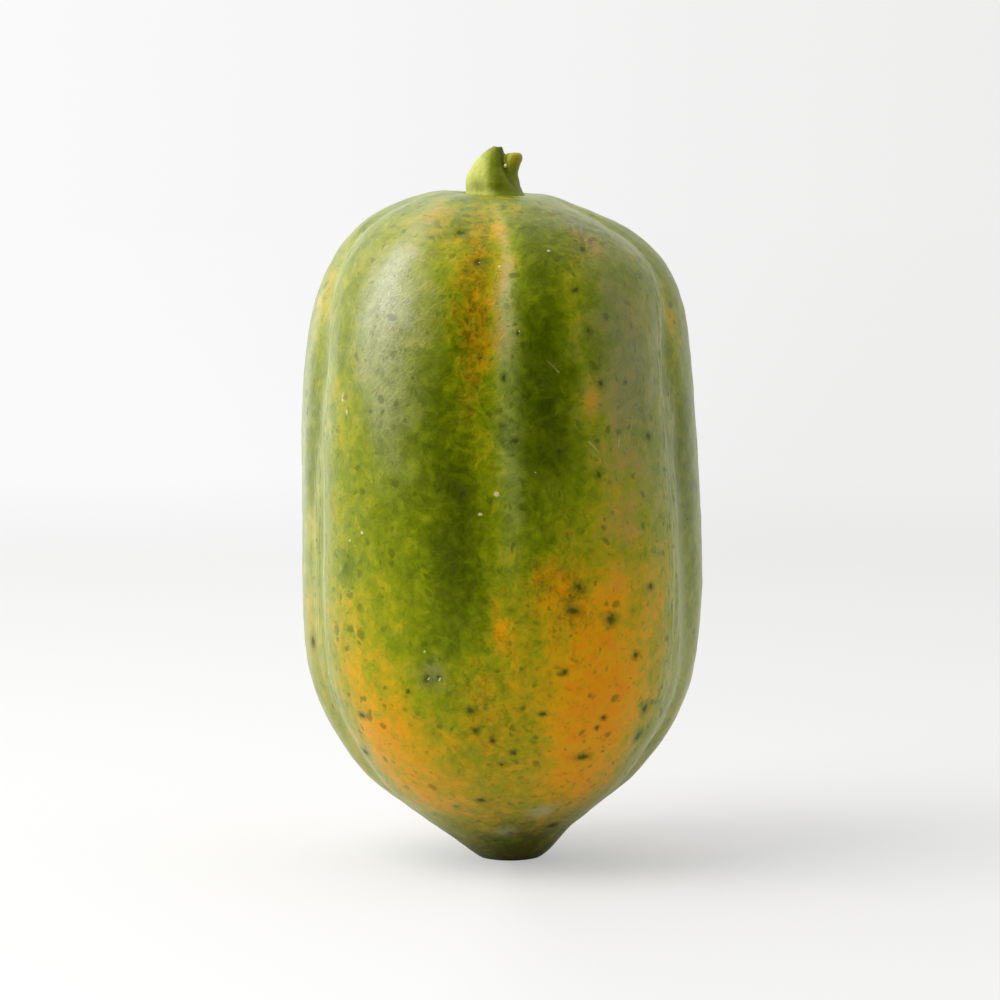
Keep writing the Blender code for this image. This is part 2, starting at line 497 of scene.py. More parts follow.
@dataclass(frozen=True)
class FruitForm:
    """The fruit's shape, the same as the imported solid's, with narrower creases in its valleys."""

    height: float = 198.5 * MM
    radius: float = 60.4 * MM
    # (share of the radius, share of the height), from the flat spot to the stem's seat
    outline: tuple = (
        (0.145, 0.000), (0.168, 0.004), (0.198, 0.011), (0.232, 0.020), (0.310, 0.041), (0.455, 0.074),
        (0.664, 0.122), (0.823, 0.182), (0.926, 0.243), (0.979, 0.303), (1.003, 0.393), (1.004, 0.500),
        (0.994, 0.635), (0.966, 0.756), (0.921, 0.848), (0.836, 0.910), (0.728, 0.947), (0.606, 0.971),
        (0.450, 0.991), (0.305, 1.0045), (0.228, 1.006), (0.168, 1.000),
    )
    valleys: tuple = (
        Valley(-145.0, -142.0, 3.2, -140.0, 2.0, 0.7),
        Valley(-82.0, -70.0, 3.6, -69.0, 2.2, 1.0),
        Valley(-2.0, -3.5, 3.0, -3.5, 0.4, 0.5),
        Valley(79.0, 66.0, 3.8, 73.0, 2.4, 1.0),
        Valley(145.0, 139.0, 3.2, 142.0, 1.8, 0.7),
    )
    # (share of the height, mm along X)
    lean: tuple = (
        (0.00, 0.0), (0.06, -2.2), (0.15, -2.5), (0.45, -2.2), (0.75, -3.7), (0.93, -2.9), (1.00, -5.2),
    )
    folds: tuple = (
        Fold(
            ((58.0, 34), (55.5, 60), (56.5, 86), (57.5, 110), (58.0, 130))
            + ((60.0, 150), (63.0, 168), (68.0, 181), (78.0, 190), (79.0, 204)),
            crest=0.40, half_width=2.2, highlight_paint=1.0,
        ),
        Fold(
            ((73.0, 20), (65.5, 52), (61.5, 75), (61.0, 95), (63.5, 112), (66.0, 128), (68.0, 150)),
            crest=0.40, half_width=2.2, highlight_paint=0.9,
        ),
        Fold(
            ((-66.5, 15), (-64.0, 70), (-65.5, 100), (-66.0, 118), (-64.0, 140))
            + ((-63.5, 165), (-70.0, 183), (-80.0, 191), (-81.0, 204)),
            crest=0.36, half_width=2.4, highlight_paint=1.0,
        ),
        Fold(
            ((-69.0, 38), (-72.5, 75), (-73.0, 98), (-71.5, 116), (-68.0, 132), (-66.0, 150)),
            crest=0.34, half_width=2.4, highlight_paint=0.8,
        ),
        Fold(
            ((-140.0, 18), (-138.0, 80), (-140.5, 120), (-139.0, 186)),
            crest=0.40, half_width=2.4, highlight_paint=0.45,
        ),
        Fold(
            ((141.0, 18), (143.0, 80), (138.0, 130), (140.0, 186)),
            crest=0.40, half_width=2.4, highlight_paint=0.32,
        ),
    )
    highlight_width: float = 3.3  # degrees
    valley_rounding: float = 0.22
    crease_width: float = 7.0  # degrees
    creased_depth: float = 1.5  # mm of valley that carries a whole crease
    shoulder_slope: float = 0.050
    slope_bearing: float = 58.0
    # where things rise from none to all, as shares of the height
    low_to_top: tuple = (0.25, 0.75)
    top_to_crown: tuple = (0.74, 0.96)
    lobes_rise: tuple = (0.02, 0.20)
    slope_rise: tuple = (0.75, 0.95)
    # and as shares of the radius, out from the stem's seat
    seat_rise: tuple = (0.15, 0.92)
    curve_steps: int = 12  # on each span of the outline

    def rows(self, count: int) -> tuple[np.ndarray, np.ndarray]:
        """Even steps up the outline, from the middle of the flat spot to the middle of the stem's seat.

        Args:
            count: How many steps there are.

        Returns:
            The steps' (radius, height) in metres, and their outward normals, count + 1 rows each.
        """
        path = [Vector((r * self.radius, h * self.height)) for r, h in self.outline]
        ends = [path[0] * 2 - path[1], *path, path[-1] * 2 - path[-2]]
        curve = []
        for before, start, end, after in zip(ends, ends[1:], ends[2:], ends[3:]):
            for t in np.arange(self.curve_steps) / self.curve_steps:
                slope = (end - before) * t
                bend = (before * 2 - start * 5 + end * 4 - after) * t * t
                twist = (start * 3 - before - end * 3 + after) * t * t * t
                curve.append(tuple((start * 2 + slope + bend + twist) / 2))
        curve = np.array([(0.0, 0.0), *curve, tuple(path[-1]), (0.0, self.height)])
        run = np.concatenate(([0.0], np.cumsum(np.hypot(*np.diff(curve, axis=0).T))))
        steps = np.linspace(0.0, run[-1], count + 1)
        points = np.stack([np.interp(steps, run, curve[:, axis]) for axis in (0, 1)], axis=1)
        along = np.gradient(points, axis=0)
        normals = np.stack([along[:, 1], -along[:, 0]], axis=1)
        return points, normals / np.linalg.norm(normals, axis=1, keepdims=True)

    def offset(self, share: np.ndarray) -> np.ndarray:
        """How far the fruit's middle leans along X.

        Args:
            share: Shares of the fruit's height.

        Returns:
            Distances in metres.
        """
        made = np.zeros_like(share, dtype=float)
        for (low, start), (high, end) in zip(self.lean, self.lean[1:]):
            made = np.where(share >= low, start + (end - start) * smooth_rise(low, high, share), made)
        return made * MM

    def depth(self, bearing: np.ndarray, share: np.ndarray) -> np.ndarray:
        """How deep the skin lies below the lobes' crests.

        Args:
            bearing: Bearings in degrees.
            share: Shares of the fruit's height.

        Returns:
            Depths in metres.
        """
        rise = smooth_rise(*self.low_to_top, share)
        crown = smooth_rise(*self.top_to_crown, share)
        bearings = [
            v.low_bearing + (v.top_bearing - v.low_bearing) * rise + (v.crown_bearing - v.top_bearing) * crown
            for v in self.valleys
        ]
        depths = [v.low_depth + (v.top_depth - v.low_depth) * rise for v in self.valleys]
        creases = [v.crease * np.minimum(1, d / self.creased_depth) for v, d in zip(self.valleys, depths)]
        bearings.append(bearings[0] + 360)
        depths.append(depths[0])
        creases.append(creases[0])
        around = np.where(bearing < bearings[0], bearing + 360, bearing)
        made = np.zeros_like(around)
        flat = math.hypot(1, self.valley_rounding) - self.valley_rounding
        for index in range(len(self.valleys)):
            across = (around - bearings[index]) / (bearings[index + 1] - bearings[index])
            swell = (np.hypot(np.sin(np.pi * across), self.valley_rounding) - self.valley_rounding) / flat
            wide = depths[index] + (depths[index + 1] - depths[index]) * smooth_rise(0, 1, across)
            here = (across >= 0) & (across <= 1)
            made = np.where(here, wide * (1 - swell), made)
        for middle, crease in zip(bearings, creases):
            made = made + crease * np.exp(-(((around - middle) / self.crease_width) ** 2))
        return made * MM

    def place(self, row: np.ndarray, normal: np.ndarray, bearing: np.ndarray) -> tuple[np.ndarray, np.ndarray]:
        """Where the skin lies, row by row and bearing by bearing.

        Args:
            row: (radius, height) of the outline, in metres, one row for each point.
            normal: The outline's normals there.
            bearing: Bearings in degrees.

        Returns:
            The points, and the directions straight out of the skin there.
        """
        share = row[:, 1] / self.height
        fade = smooth_rise(*self.lobes_rise, share)
        fade *= np.where(share > 0.6, smooth_rise(*self.seat_rise, row[:, 0] / self.radius), 1.0)
        at = row - normal * (self.depth(bearing, share) * fade)[:, None]
        sine, cosine = np.sin(np.radians(bearing)), np.cos(np.radians(bearing))
        tilt = self.shoulder_slope * np.cos(np.radians(bearing - self.slope_bearing))
        drop = tilt * at[:, 0] * smooth_rise(*self.slope_rise, share)
        points = np.stack([self.offset(share) + at[:, 0] * sine, -at[:, 0] * cosine, at[:, 1] - drop], axis=1)
        out = np.stack([normal[:, 0] * sine, -normal[:, 0] * cosine, normal[:, 1]], axis=1)
        return points, out

    def spot(self, bearing: float, height: float) -> Vector:
        """The point of the skin at one place.

        Args:
            bearing: Its bearing in degrees.
            height: Its height in millimetres.

        Returns:
            The point, in metres.
        """
        points, normals = self.rows(400)
        outer = np.arange(12, 372)  # without the flat spot and the stem's seat
        order = outer[np.argsort(points[outer, 1])]
        row = np.array([[np.interp(height * MM, points[order, 1], points[order, 0]), height * MM]])
        out = np.array([[np.interp(height * MM, points[order, 1], normals[order, axis]) for axis in (0, 1)]])
        return Vector(self.place(row, out, np.array([bearing]))[0][0])


# ---------------------------------------------------------------------------------- paint on the skin


class Layer(Enum):
    """What is painted on the skin in soft strokes. The value is the mask's name."""

    RIPENESS = "ripeness"
    DARK_GREEN_AND_SHADE = "dark_green_and_base_shade"
    BLOOM = "waxy_bloom_and_painted_highlight"
    PALE = "painted_sheen_and_scuffs"


@dataclass(frozen=True)
class Stroke:
    """A soft stroke that draws a layer towards a level."""

    level: float
    bearing: float
    height: float
    half_width: float  # degrees
    half_height: float  # mm
    strength: float


@dataclass(frozen=True)
class Spot:
    """A single mark on the skin: its middle and its half width and half height in mm."""

    bearing: float
    height: float
    half_width: float
    half_height: float


VALLEY_HIGHLIGHT_MASK = "valley_painted_highlights"
SCAR = "blossom_scar"
STROKES = {
    Layer.RIPENESS: (
        # all round, low on the fruit
        (0.50, 0, 20, 400, 50, 0.70),
        # left side lobe
        (0.56, -80, 165, 7, 18, 0.90),
        (0.20, -77, 128, 7, 20, 0.85),
        (0.60, -78, 98, 6, 9, 0.70),
        (0.60, -79, 68, 9, 15, 0.70),
        # left front lobe
        (0.44, -51, 120, 9, 40, 0.85),
        (0.52, -50, 134, 4, 12, 0.50),
        (0.14, -52, 154, 5, 6, 0.50),
        (0.27, -31, 118, 10, 36, 0.85),
        (0.56, -51, 76, 9, 18, 0.90),
        (0.62, -33, 84, 8, 8, 0.30),
        (0.72, -38, 48, 17, 24, 0.85),
        (0.83, -38, 38, 11, 14, 0.90),
        (0.78, -28, 27, 13, 9, 0.75),
        (0.12, -49, 93, 4, 5, 0.80),
        (0.20, -19, 118, 10, 44, 0.60),
        (0.03, -12, 112, 8, 50, 0.95),
        (0.20, -21, 74, 6, 12, 0.60),
        # front valley
        (0.68, -9, 164, 6.5, 34, 0.95),
        (0.45, -7, 125, 2.5, 20, 0.50),
        (0.70, -11, 186, 7, 8, 0.55),
        (0.42, -1, 128, 4, 42, 0.85),
        (0.64, 1, 184, 5, 17, 0.90),
        (0.78, -5, 155, 2.5, 6, 0.90),
        (0.66, 0, 161, 3, 8, 0.60),
        (0.72, 1, 174, 3.5, 14, 0.70),
        # right front lobe
        (0.03, 14, 142, 9, 54, 0.97),
        (0.10, 10, 112, 7, 16, 0.80),
        (0.38, 40, 150, 17, 44, 0.85),
        (0.84, 27, 141, 3, 5, 0.80),
        (0.70, 23, 172, 3, 9, 0.50),
        (0.62, 45, 163, 6, 8, 0.60),
        (0.68, 37, 185, 9, 6, 0.70),
        (0.56, 36, 120, 11, 20, 0.70),
        (0.64, 51, 86, 8, 26, 0.75),
        (0.20, 60, 128, 4, 34, 0.60),
        (0.80, 27, 60, 17, 42, 0.90),
        (1.00, 28, 54, 14, 27, 0.95),
        (0.82, 15, 86, 10, 13, 0.90),
        (0.90, 32, 86, 5, 5, 0.80),
        (0.88, 30, 29, 15, 10, 0.65),
        (0.60, 48, 62, 5, 26, 0.60),
        # right side lobe
        (0.16, 75, 125, 8, 30, 0.85),
        (0.66, 75, 160, 5, 12, 0.85),
        (0.44, 82, 70, 10, 34, 0.70),
        # between the two blushes
        (0.66, -8, 44, 17, 26, 0.75),
        (0.68, -12, 19, 14, 8, 0.80),
        (0.34, -20, 59, 6, 12, 0.75),
        (0.84, 0, 75, 3, 7, 0.80),
        (0.62, 8, 64, 6, 20, 0.50),
        # round the stem
        (0.62, -32, 191, 16, 8, 0.70),
        (0.64, 13, 195, 9, 5, 0.70),
        # the back, which carries on in the same way
        (0.48, 118, 110, 14, 50, 0.60),
        (0.10, 108, 140, 10, 36, 0.80),
        (0.08, 164, 146, 11, 34, 0.85),
        (0.12, -164, 134, 10, 36, 0.75),
        (0.14, -112, 146, 12, 30, 0.75),
        (0.80, 139, 162, 5, 26, 0.70),
        (0.74, -141, 160, 5, 30, 0.70),
        (0.80, 162, 62, 22, 34, 0.85),
        (0.98, 158, 46, 14, 20, 0.90),
        (0.76, 118, 48, 16, 26, 0.75),
        (0.92, 112, 34, 9, 12, 0.70),
        (0.74, -122, 60, 18, 30, 0.80),
        (0.95, -126, 44, 11, 15, 0.85),
        (0.58, -160, 60, 14, 30, 0.70),
        (0.62, 150, 190, 16, 8, 0.60),
        (0.62, -120, 188, 14, 8, 0.60),
    ),
    Layer.DARK_GREEN_AND_SHADE: (
        # dark green columns and patches
        (0.62, -13, 112, 8, 44, 0.90),
        (0.62, -9, 165, 7, 30, 0.85),
        (0.70, -9, 156, 5, 34, 0.90),
        (0.50, 14, 138, 9, 48, 0.85),
        (0.00, 1, 150, 2.5, 44, 0.60),
        (0.62, 13, 90, 10, 12, 0.90),
        (0.50, 18, 78, 6, 8, 0.60),
        (0.45, -4, 52, 16, 32, 0.80),
        (0.40, 68, 128, 9, 40, 0.70),
        (0.45, 150, 130, 20, 40, 0.70),
        (0.40, -150, 120, 16, 40, 0.70),
        # darker round the crown
        (0.55, 16, 191, 13, 10, 0.85),
        (0.50, -22, 188, 11, 9, 0.80),
        (0.35, 50, 186, 20, 10, 0.70),
        (0.80, 36, 188, 22, 8, 0.90),
        # more dark green patches
        (0.55, -5, 82, 7, 24, 0.80),
        (0.60, 21, 88, 6, 10, 0.80),
        # painted shade: darker low down all round, where the fruit meets the floor, less so in one patch at the
        # front left, and darkest at the lower right
        (1.00, 0, -2, 400, 16, 1.00),
        (0.10, -14, 20, 12, 7, 0.70),
        (1.30, 20, 0, 50, 7, 1.00),
    ),
    Layer.PALE: (
        # painted highlights: the key light's sheen on the left shoulder and on the front valley's right flank,
        # and the pale band in the left valley
        (0.62, -37, 168, 10, 20, 0.95),
        (0.35, -32, 138, 7, 14, 0.80),
        (0.42, 2, 166, 2.8, 22, 0.90),
        (0.20, 3, 122, 3.0, 24, 0.80),
        (0.30, -84, 130, 5, 60, 0.70),
        # real pale scuffs low on the fruit
        (0.55, 20, 18, 8, 2.5, 0.90),
        (0.45, 2, 11, 8, 2.0, 0.90),
        # a paler patch at the back
        (0.45, 170, 160, 9, 22, 0.80),
    ),
    Layer.BLOOM: (
        # the skin's own grey-green waxy bloom
        (1.00, 40, 150, 15, 42, 0.95),
        (0.50, 34, 108, 10, 14, 0.60),
        (0.80, -21, 64, 5, 6, 0.90),
        # on the left shoulder and at the top of the front valley: gloss where the key light's highlight falls,
        # and a paler grey colour there that is partly a painted highlight
        (1.00, -36, 168, 15, 26, 0.95),
        (0.75, 1, 166, 4, 20, 0.85),
        (0.60, -30, 138, 9, 22, 0.70),
        # more bloom on the left side and at the back
        (0.35, -80, 130, 10, 50, 0.60),
        (0.60, 150, 165, 14, 26, 0.80),
        (0.60, -125, 160, 14, 26, 0.80),
    ),
}

DARK_SPOTS = tuple(
    Spot(*values)
    for values in (
        (-8, 183, 1.6, 1.1), (31, 186, 1.2, 1.0), (24, 174, 1.1, 0.9), (6, 161.5, 0.8, 0.8),
        (27, 161.5, 1.0, 0.9), (30, 146, 0.9, 0.9), (39, 146, 0.5, 0.5), (-15, 190.5, 1.4, 1.2),
        (2, 148, 0.8, 1.0), (12.5, 147, 1.0, 1.1), (17, 127, 0.9, 1.1), (5, 130, 1.2, 0.9),
        (28, 120, 0.8, 1.1), (-10.5, 115, 1.3, 1.5), (19.5, 81, 1.9, 1.2), (31, 78, 1.7, 1.5),
        (21, 88, 1.2, 1.2), (45, 86.5, 1.1, 0.9), (-21.5, 61, 1.3, 1.4), (-18, 61.5, 0.7, 0.7),
        (17.5, 63.5, 0.9, 0.9), (40, 67, 1.0, 0.9), (31.5, 49, 0.9, 0.6), (30, 46, 0.7, 0.6),
        (28, 37, 1.9, 0.9), (48, 50, 1.3, 1.6), (50, 41, 1.2, 1.8), (12, 51, 1.0, 0.6),
        (6, 53, 0.6, 0.5), (-9, 52, 1.2, 1.0), (-8, 46, 1.0, 0.9), (-3, 43, 0.8, 0.8),
        (0, 35, 1.0, 0.7), (4, 39, 0.8, 0.8), (-77, 66.5, 1.9, 1.8), (-47, 48, 1.4, 0.8),
        (-27.5, 57, 0.6, 0.5), (-57, 35, 2.0, 1.0), (37, 12.5, 2.4, 1.0), (-9, 23, 1.2, 1.0),
        (-5, 154, 0.7, 0.7), (47, 130, 1.4, 1.0), (150, 152, 1.4, 1.2), (118, 120, 1.2, 1.2),
        (172, 92, 1.7, 1.3), (-150, 170, 1.3, 1.1), (-122, 102, 1.6, 1.5), (-168, 60, 1.4, 1.2),
        (100, 70, 1.3, 1.4), (-100, 150, 1.0, 1.0),
    )
)

PALE_SPOTS = tuple(
    Spot(*values)
    for values in (
        (-7.2, 183.2, 0.4, 0.4), (0, 182, 0.6, 0.7), (6.3, 161.8, 0.3, 0.3), (18, 186, 0.6, 0.6),
        (-42, 102.5, 0.6, 0.7), (-47, 100, 0.5, 0.5), (10, 121, 0.4, 0.4), (-1, 114.8, 1.0, 0.9),
        (-21, 61.2, 0.5, 0.4), (-17.8, 61.2, 0.5, 0.5), (-6, 109, 0.5, 0.5), (-22, 69, 0.4, 0.4),
        (-50, 141, 0.5, 2.2), (-48, 137, 0.6, 1.0), (160, 130, 0.6, 0.6), (-130, 140, 0.6, 0.8),
        (125, 95, 0.5, 0.5),
    )
)

SCRATCHES = (
    ((14.2, 153.0), (17.6, 149.5)),
    ((25.5, 129.5), (28.4, 126.5)),
    ((35.0, 127.5), (35.6, 131.0)),
    ((-152.0, 118.0), (-149.0, 122.0)),
)


@dataclass(frozen=True)
class SkinFinish:
    """The colours, patterns and gloss of the fruit's skin.

    The colours of ripening stand in order of ripeness. Pattern sizes are in millimetres, and a share says
    how strongly a layer covers the colour under it.
    """

    ripening: tuple = (
        (0.00, tint(56, 72, 0)),
        (0.18, tint(84, 100, 0)),
        (0.35, tint(112, 126, 2)),
        (0.48, tint(140, 142, 8)),
        (0.62, tint(176, 148, 12)),
        (0.80, tint(214, 150, 2)),
        (1.00, tint(222, 134, 0)),
    )
    # the grey-green of the waxy bloom; on the lit shoulder and front valley it stands partly for a painted
    # highlight
    bloom: Colour = tint(118, 118, 68)
    # the dark green of the skin's darker columns and patches, and of the painted shade at its base
    shade: Colour = tint(34, 40, 0)
    spot: Colour = tint(38, 50, 6)
    speck: Colour = tint(60, 74, 4)
    # the pale colour of the painted highlights along the valleys and on the lit shoulder, and of two real
    # scuffs
    highlight_paint: Colour = tint(182, 186, 128)
    pale: Colour = tint(200, 192, 140)
    scar: Colour = tint(70, 54, 28)
    wax: Colour = (1.0, 0.95, 0.12, 1.0)
    white: Colour = (1.0, 1.0, 1.0, 1.0)
    cloud_size: float = 9.0
    mottle_size: float = 3.4
    patch_size: float = 2.6
    grain_size: float = 0.9
    thread_size: float = 0.62
    hair_size: float = 1.1
    bloom_share: float = 0.75
    shade_share: float = 0.80
    highlight_share: float = 0.85
    mark_share: float = 0.85
    halo_share: float = 0.55
    scratch_share: float = 0.40
    roughness: float = 0.31
    specular: float = 0.5
    coat: float = 0.9
    coat_roughness: float = 0.30
    bump_depth: float = 1.0 * MM


@dataclass(frozen=True)
class SkinPatterns:
    """The sockets that the skin's colour, gloss and bump share.

    Clouds, mottle, grain, threads and hairs lie round 0, and the others go from 0 to 1.
    """

    bent: Feed
    clouds: Feed
    mottle: Feed
    grain: Feed
    threads: Feed
    hairs: Feed
    dots: Feed
    bloom_and_highlight: Feed
    dark: Feed
    halo: Feed
    pale: Feed


@dataclass
class FruitSkin:
    """The whole skin of the fruit, from the blossom scar to the stem's seat."""

    form: FruitForm = field(default_factory=FruitForm)
    finish: SkinFinish = field(default_factory=SkinFinish)
    around: int = 372
    along: int = 262
    scar_radius: float = 7.0 * MM
    seat_radius: float = 15.0 * MM
    pit_depth: float = 0.22  # mm, at each dark spot
    unpainted_ripeness: float = 0.33

    def build(self) -> bpy.types.Object:
        """Makes the skin and dresses it.

        Returns:
            The skin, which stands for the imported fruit.
        """
        shape = bmesh.new()
        bmesh.ops.create_uvsphere(shape, u_segments=self.around, v_segments=self.along, radius=1.0)
        mesh = finished_mesh("fruit_skin", shape)
        ball = vertex_vectors(mesh)
        rows, normals = self.form.rows(self.along)
        index = np.rint(np.arccos(np.clip(-ball[:, 2], -1, 1)) / math.pi * self.along).astype(int)
        bearing = np.degrees(np.arctan2(ball[:, 0], -ball[:, 1]))
        places, out = self.form.place(rows[index], normals[index], bearing)
        reach = rows[index][:, 0]
        height = places[:, 2] / MM
        carved = places + out * self.relief(places, out, reach, bearing)[:, None]
        carved[:, 2] = np.maximum(carved[:, 2], 0.0)
        move_vertices(mesh, carved)
        self.paint(mesh, places, bearing, height, reach)
        piece = add_piece("fruit_skin", mesh, self.dress())
        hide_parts("fruit")
        return piece

    def relief(self, places: np.ndarray, out: np.ndarray, reach: np.ndarray, bearing: np.ndarray) -> np.ndarray:
        """How far the skin stands out of the plain form: its lumps, dimples and the blossom scar.

        Args:
            places: Points of the plain form, in metres.
            out: The directions straight out of it. Not used.
            reach: Each point's distance from the outline's axis.
            bearing: Each point's bearing in degrees.

        Returns:
            Distances in metres.
        """
        flat = places[:, 2] < 0.4 * MM
        seat = (places[:, 2] > 190 * MM) & (reach < self.seat_radius)
        calm = np.where(flat | seat, 0.0, 1.0) * smooth_rise(0.0, 8.0, places[:, 2] / MM)
        ridged = places * np.array([1.0, 1.0, 0.35])  # lumps run up and down the fruit
        slanted = np.stack([places[:, 0] - 0.7 * places[:, 2], places[:, 1], 0.6 * places[:, 2]], axis=1)
        # height in mm, where it is read, width in mm, shift: two kinds of lump and two of fine grain
        layers = ((0.40, ridged, 24.0, 0.0), (0.20, places, 10.0, 7.0))
        layers += ((0.05, places, 3.6, 3.0), (0.07, slanted, 5.0, 5.0))
        made = calm * sum(high * cloud(at, wide * MM, 2, shift) for high, at, wide, shift in layers)
        for spot in DARK_SPOTS:
            gap = np.linalg.norm(places - np.array(self.form.spot(spot.bearing, spot.height)), axis=1) / MM
            wide = 0.9 * max(spot.half_width, spot.half_height) + 0.4
            made = made - self.pit_depth * np.exp(-((gap / wide) ** 2))
        ridges = 0.25 * np.cos(np.radians(bearing * 5)) * smooth_rise(0.2, 1.0, reach / self.scar_radius)
        for fold in self.form.folds:
            made = made + fold.crest * fold.nearness(bearing, places[:, 2] / MM, fold.half_width)
        scar = (0.9 + ridges) * (1 - smooth_rise(0.55, 1.0, reach / self.scar_radius))
        return (made - np.where(flat, scar, 0.0)) * MM

    def paint(
        self,
        mesh: bpy.types.Mesh,
        places: np.ndarray,
        bearing: np.ndarray,
        height: np.ndarray,
        reach: np.ndarray,
    ) -> None:
        """Stores the masks that say where each layer of colour lies.

        Args:
            mesh: The skin.
            places: Its points, in metres.
            bearing: Their bearings in degrees.
            height: Their heights in millimetres.
            reach: Their distances from the outline's axis, in metres.
        """
        drift = 3.0 * cloud(places, 22 * MM, 3, 11.0) + 1.5 * cloud(places, 7 * MM, 3, 19.0)
        lift = 6.0 * cloud(places, 20 * MM, 3, 31.0) + 3.0 * cloud(places, 7 * MM, 3, 23.0)
        masks = {layer: np.zeros(len(places)) for layer in Layer}
        masks[Layer.RIPENESS] += self.unpainted_ripeness
        for layer, strokes in STROKES.items():
            for stroke in (Stroke(*values) for values in strokes):
                turn = (bearing - stroke.bearing + 180) % 360 - 180
                across = (turn + drift * min(1.0, stroke.half_width / 6)) / stroke.half_width
                up = (height + lift * min(1.0, stroke.half_height / 12) - stroke.height) / stroke.half_height
                weight = stroke.strength * np.exp(-(across**2) - up**2)
                masks[layer] += (stroke.level - masks[layer]) * weight
        for layer, values in masks.items():
            store_mask(mesh, layer.value, values)
        # painted highlights along the valley folds
        width = self.form.highlight_width
        valley_highlights = [fold.highlight_paint * fold.nearness(bearing, height, width) for fold in self.form.folds]
        store_mask(mesh, VALLEY_HIGHLIGHT_MASK, np.max(valley_highlights, axis=0))
        scar = (1 - smooth_rise(0.75, 1.05, reach / self.scar_radius)) * (height < 2.0)
        store_mask(mesh, SCAR, scar)

    def marks(self, wire: Wiring, place: Feed, spots: Iterable[Spot]) -> bpy.types.NodeSocket:
        """How near each point is to the nearest of some marks: 0 at a mark's middle, 1 at its edge.

        Args:
            wire: Where the nodes go.
            place: Coordinates in metres.
            spots: The marks.

        Returns:
            The nearness, held at 9 and below.
        """
        nearest: Feed = 9.0
        for spot in spots:
            middle = self.form.spot(spot.bearing, spot.height)
            size = Vector((1 / spot.half_width, 1 / spot.half_width, 1 / spot.half_height)) / MM
            gap = wire.add("VectorMath", operation="MULTIPLY_ADD")
            wire.feed(gap.inputs[0], place)
            gap.inputs[1].default_value = size
            gap.inputs[2].default_value = -middle * size
            nearest = wire.math("MINIMUM", wire.length(gap.outputs[0]), nearest)
        return nearest

    def patterns(self, wire: Wiring, place: Feed) -> SkinPatterns:
        """Makes the patterns that the skin's colour, gloss and bump share.

        Args:
            wire: Where the nodes go.
            place: Coordinates in metres.

        Returns:
            Their sockets.
        """
        look = self.finish
        bent = wire.bent(wire.bent(place, 7.0, 5.0), 1.6, 1.5)
        clouds = wire.centred(wire.speckle(bent, look.cloud_size, 4.0, 0.6))
        threads = wire.group(thread_group(), Place=bent, Spacing=look.thread_size).outputs["Threads"]
        upright = wire.stretch(wire.bent(place, 16.0, 4.0), (1.0, 1.0, 0.05))
        loose = wire.group(speck_group(), Place=bent, Spacing=3.4, Share=0.22, Size=0.17).outputs["Speck"]
        tiny = wire.group(speck_group(), Place=bent, Spacing=1.6, Share=0.16, Size=0.20).outputs["Speck"]
        moved = wire.bent(place, 1.4, 1.8)
        dark_gap, pale_gap = (self.marks(wire, moved, spots) for spots in (DARK_SPOTS, PALE_SPOTS))
        return SkinPatterns(
            bent=bent,
            clouds=clouds,
            mottle=wire.centred(wire.speckle(bent, look.mottle_size, 5.0, 0.72)),
            grain=wire.centred(wire.speckle(place, look.grain_size, 3.0, 0.7)),
            threads=wire.centred(threads),
            hairs=wire.centred(wire.speckle(upright, look.hair_size, 3.0, 0.6)),
            dots=wire.math("MAXIMUM", wire.times(loose, 0.60), wire.times(tiny, 0.40)),
            bloom_and_highlight=wire.rise(wire.plus(wire.mask(Layer.BLOOM.value), wire.times(clouds, 1.2)), 0.1, 1.1),
            dark=wire.rest(wire.rise(dark_gap, 0.40, 1.20)),
            halo=wire.rest(wire.rise(dark_gap, 0.7, 2.6)),
            pale=wire.rest(wire.rise(pale_gap, 0.5, 1.1)),
        )

    def ripened(self, wire: Wiring, seen: SkinPatterns) -> bpy.types.NodeSocket:
        """The colour of ripening, from dark green to orange.

        Args:
            wire: Where the nodes go.
            seen: The skin's patterns.

        Returns:
            The colour's socket.
        """
        painted = wire.mask(Layer.RIPENESS.value)
        apart = wire.shifted(seen.bent, 0.31)
        flecks = wire.group(speck_group(), Place=apart, Spacing=4.2, Share=0.35, Size=0.24)
        ripe = wire.plus(painted, wire.times(seen.clouds, wire.plus(wire.times(seen.bloom_and_highlight, 0.55), 0.42)))
        ripe = wire.plus(ripe, wire.times(seen.mottle, wire.plus(wire.times(painted, 0.5), 0.48)))
        for pattern, strength in ((flecks.outputs["Speck"], 0.08), (seen.threads, 0.20), (seen.grain, 0.16)):
            ripe = wire.plus(ripe, wire.times(pattern, strength))
        ramp = wire.add("ValToRGB")
        wire.feed(ramp.inputs[0], ripe)
        stops = ramp.color_ramp.elements
        ripening = self.finish.ripening
        for (at, shown), spare in zip((ripening[0], ripening[-1]), (stops[0], stops[-1])):
            spare.position, spare.color = at, shown
        for at, shown in ripening[1:-1]:
            stops.new(at).color = shown
        return ramp.outputs[0]

    def weathered(self, wire: Wiring, seen: SkinPatterns, colour: Feed) -> bpy.types.NodeSocket:
        """The colour with its waxy bloom (in places partly a painted highlight), its dark green and painted
        shade, its painted highlights and specks.

        Args:
            wire: Where the nodes go.
            seen: The skin's patterns.
            colour: The colour of ripening.

        Returns:
            The colour's socket.
        """
        look = self.finish
        # the waxy bloom's grey-green, which on the lit shoulder and front valley is partly a painted highlight
        colour = wire.blend(wire.times(seen.bloom_and_highlight, look.bloom_share), colour, look.bloom)
        patches = wire.centred(wire.speckle(wire.shifted(seen.bent, 0.17), look.patch_size, 4.0, 0.7))
